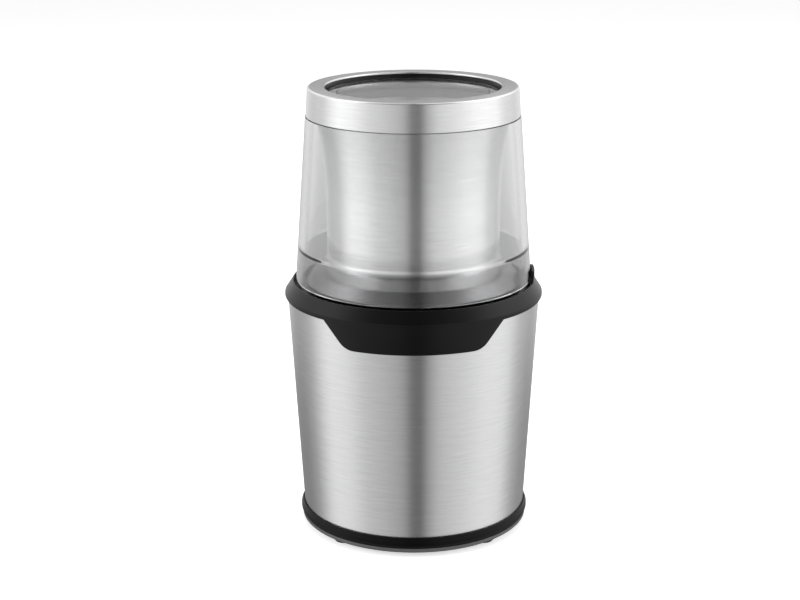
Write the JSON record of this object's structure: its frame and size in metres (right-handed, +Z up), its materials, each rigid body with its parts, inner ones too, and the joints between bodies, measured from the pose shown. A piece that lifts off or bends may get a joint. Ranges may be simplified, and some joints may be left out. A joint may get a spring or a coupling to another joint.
{
  "type": "electric coffee grinder",
  "caption": "Upright coffee grinder: tapered brushed-steel housing, black collar and base ring, clear press-down lid with a steel cap over a lift-out steel bowl with a spinning blade.",
  "frame": {"origin": "on the table, under the middle of the base", "axes": "+Z up along the motor shaft, -Y the front with the apron, +X the side with the lid's guide and interlock rod, +Y the back with the cord gland"},
  "size_m": [0.1194, 0.1194, 0.2075],
  "materials": {
    "brushed_steel": "fine brushing round the axis, satin",
    "black_plastic": "satin moulded black",
    "dark_plastic": "plain moulded",
    "clear_plastic": "clear polished",
    "rubber": "matte",
    "silicone": "matte, soft",
    "zinc_screw": "zinc plated",
    "cast_aluminium": "die cast",
    "bronze": "sintered",
    "lamination": "stacked sheets",
    "copper": "enamelled wire",
    "bare_steel": "turned",
    "blade_steel": "polished, ground edge",
    "fan_plastic": "glass-filled, off-white",
    "white_plastic": "plain moulded",
    "carbon": "pressed carbon",
    "switch_red": "plain moulded",
    "capacitor_yellow": "plain moulded"
  },
  "bodies": {
    "base": {"feet": "rubber", "bottom_cover": "black_plastic", "base_ring": "black_plastic", "housing_shell": "brushed_steel", "collar": "black_plastic", "motor_carrier": "dark_plastic", "base_screws": "zinc_screw", "collar_screws": "zinc_screw", "mount_screws": "zinc_screw", "upper_bracket": "cast_aluminium", "lower_bracket": "cast_aluminium", "tie_screws": "zinc_screw", "upper_bearing": "bronze", "lower_bearing": "bronze", "stator_core": "lamination", "field_coils": "copper", "brush_holders": "bronze", "carbon_brushes": "carbon", "brush_springs": "bare_steel", "micro_switch": "dark_plastic", "switch_screws": "zinc_screw", "return_spring": "bare_steel", "suppression_capacitor": "capacitor_yellow", "cord_gland": "rubber", "cord_clamp": "dark_plastic", "clamp_screws": "zinc_screw"},
    "rotor": {"motor_shaft": "bare_steel", "armature_core": "lamination", "armature_winding": "copper", "commutator": "copper", "cooling_fan": "fan_plastic", "shaft_washers": "bare_steel", "drive_dog": "fan_plastic"},
    "interlock_rod": {"push_rod": "white_plastic"},
    "switch_button": {"switch_plunger": "switch_red"},
    "bowl": {"bowl_cup": "brushed_steel", "bowl_base": "black_plastic", "bowl_bushing": "bronze", "bushing_nut": "zinc_screw", "shaft_seal": "rubber"},
    "blade": {"blade_spindle": "bare_steel", "drive_socket": "fan_plastic", "spindle_washers": "bare_steel", "grinding_blade": "blade_steel", "blade_nut": "bare_steel"},
    "seal": {"lid_seal": "silicone"},
    "lid": {"lid_body": "clear_plastic", "lid_cap": "brushed_steel", "cap_liner": "black_plastic"}
  },
  "joints": [
    {"name": "motor_spin", "type": "hinge", "parent": "base", "child": "rotor", "pos_m": [0, 0, 0.06], "axis": [0, 0, 1], "continuous": true},
    {"name": "blade_spin", "type": "hinge", "parent": "bowl", "child": "blade", "pos_m": [0, 0, 0.12], "axis": [0, 0, 1], "continuous": true},
    {"name": "bowl_lift", "type": "slide", "parent": "base", "child": "bowl", "axis": [0, 0, 1], "range_m": [0, 0.09]},
    {"name": "lid_lift", "type": "slide", "parent": "bowl", "child": "seal", "axis": [0, 0, 1], "range_m": [0, 0.09]},
    {"name": "lid_press", "type": "slide", "parent": "seal", "child": "lid", "axis": [0, 0, 1], "range_m": [-0.003, 0], "stiffness_N_per_m": 2500, "springref_m": 0.0015},
    {"name": "rod_press", "type": "slide", "parent": "base", "child": "interlock_rod", "axis": [0, 0, 1], "range_m": [-0.003, 0], "deforming": ["return_spring"]},
    {"name": "switch_press", "type": "slide", "parent": "base", "child": "switch_button", "axis": [0, 0, 1], "range_m": [-0.003, 0]}
  ],
  "couplings": [
    {"joint": "blade_spin", "follows": "motor_spin", "ratio": 1},
    {"joint": "rod_press", "follows": "lid_press", "ratio": 1},
    {"joint": "switch_press", "follows": "lid_press", "ratio": 1}
  ]
}
